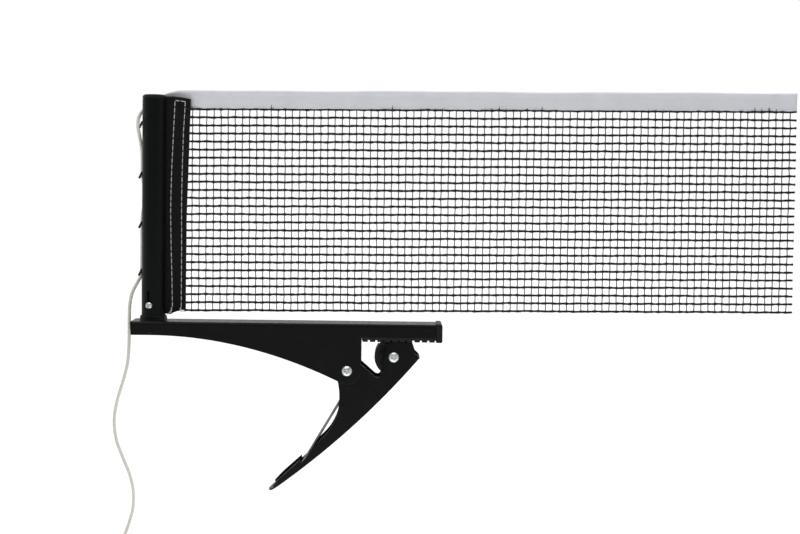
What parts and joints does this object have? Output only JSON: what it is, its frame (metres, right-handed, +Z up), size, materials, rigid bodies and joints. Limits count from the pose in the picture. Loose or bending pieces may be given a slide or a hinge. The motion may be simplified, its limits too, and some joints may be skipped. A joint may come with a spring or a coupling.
{
  "type": "table tennis net clamp",
  "caption": "Spring clamp for a table tennis net: channel arm with ribbed jaw, pivoting lever, sliding post, tension cord and the end of the net.",
  "frame": {"origin": "on the upper pad's gripping face, in the middle of the rib just beyond the jaw shoe, on the middle plane: the table's top surface lies in Z = 0", "axes": "+Z up along the post, +X along the net towards the table's middle, +Y away from the front"},
  "size_m": [0.4605, 0.0299, 0.316],
  "materials": {
    "black_paint": "semi-gloss black stove enamel on sheet steel",
    "post_paint": "semi-gloss black stove enamel on steel tube",
    "bright_zinc": "bright zinc plate",
    "spring_steel": "oiled spring wire",
    "black_plastic": "moulded matte black",
    "black_rubber": "ribbed matte black rubber",
    "black_binding": "woven black binding, white stitching",
    "black_net": "knotted black nylon thread",
    "white_tape": "woven white tape, folded over the net's edge",
    "cream_cord": "braided cotton cord"
  },
  "bodies": {
    "bracket": {"arm": "black_paint", "arm_end_cap": "black_plastic", "upper_pad": "black_rubber", "pivot_screw": "bright_zinc", "pivot_nut": "bright_zinc", "pivot_sleeve": "black_plastic", "torsion_spring": "spring_steel", "post_spigot": "black_paint", "spigot_rivet": "black_paint", "height_screw": "bright_zinc"},
    "lever": {"lever": "black_paint", "jaw_screw": "bright_zinc", "jaw_nut": "bright_zinc", "jaw_sleeve": "bright_zinc"},
    "jaw_shoe": {"jaw_shoe": "black_plastic", "jaw_pad": "black_rubber"},
    "post": {"post_tube": "post_paint", "post_cap": "black_plastic", "net_rod": "black_plastic", "net_binding": "black_binding", "net_mesh": "black_net", "net_tape": "white_tape", "tension_cord": "cream_cord"}
  },
  "joints": [
    {"name": "lever_pivot", "type": "hinge", "parent": "bracket", "child": "lever", "pos_m": [-0.0519, 0, -0.0194], "axis": [0, 1, 0], "range_deg": [0, 45], "stiffness_Nm_per_rad": 3.8, "springref_deg": -22.35, "deforming": ["torsion_spring"]},
    {"name": "shoe_swivel", "type": "hinge", "parent": "lever", "child": "jaw_shoe", "pos_m": [-0.0206, 0, -0.0101], "axis": [0, 1, 0], "range_deg": [-45, 0]},
    {"name": "post_height", "type": "slide", "parent": "bracket", "child": "post", "axis": [0, 0, 1], "range_m": [-0.0085, 0], "deforming": ["net_binding", "net_mesh"]}
  ],
  "couplings": [
    {"joint": "shoe_swivel", "follows": "lever_pivot", "ratio": -1}
  ]
}
